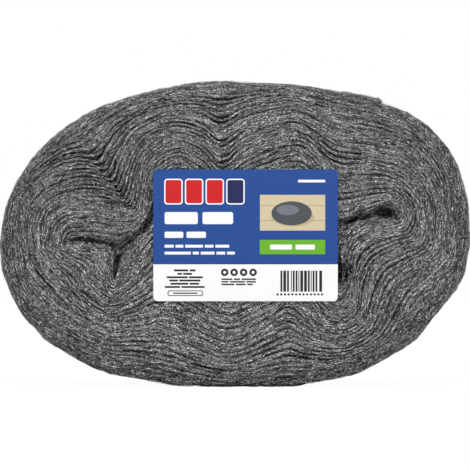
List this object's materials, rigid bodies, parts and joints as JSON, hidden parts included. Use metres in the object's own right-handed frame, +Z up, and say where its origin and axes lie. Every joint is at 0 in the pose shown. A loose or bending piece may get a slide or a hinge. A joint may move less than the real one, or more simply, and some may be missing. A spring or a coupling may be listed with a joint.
{
  "type": "steel wool bundle",
  "caption": "Oval bundle of folded, rolled-up fine steel wool ribbon with a printed label on its front.",
  "frame": {"origin": "under the middle of the bundle, on the surface that it rests on", "axes": "+X along the bundle's length to the right, +Y from the labelled front end of the roll to its back end, +Z up"},
  "size_m": [0.22, 0.1005, 0.1432],
  "materials": {
    "steel_wool": "fine matted steel fibres, dark grey with bright flecks, running along the turns",
    "label_sheet": "printed sheet, satin, deep blue field over a white band, with plain bars and blocks in place of print"
  },
  "bodies": {
    "root": {"steel_wool_roll": "steel_wool", "label": "label_sheet"}
  },
  "joints": []
}
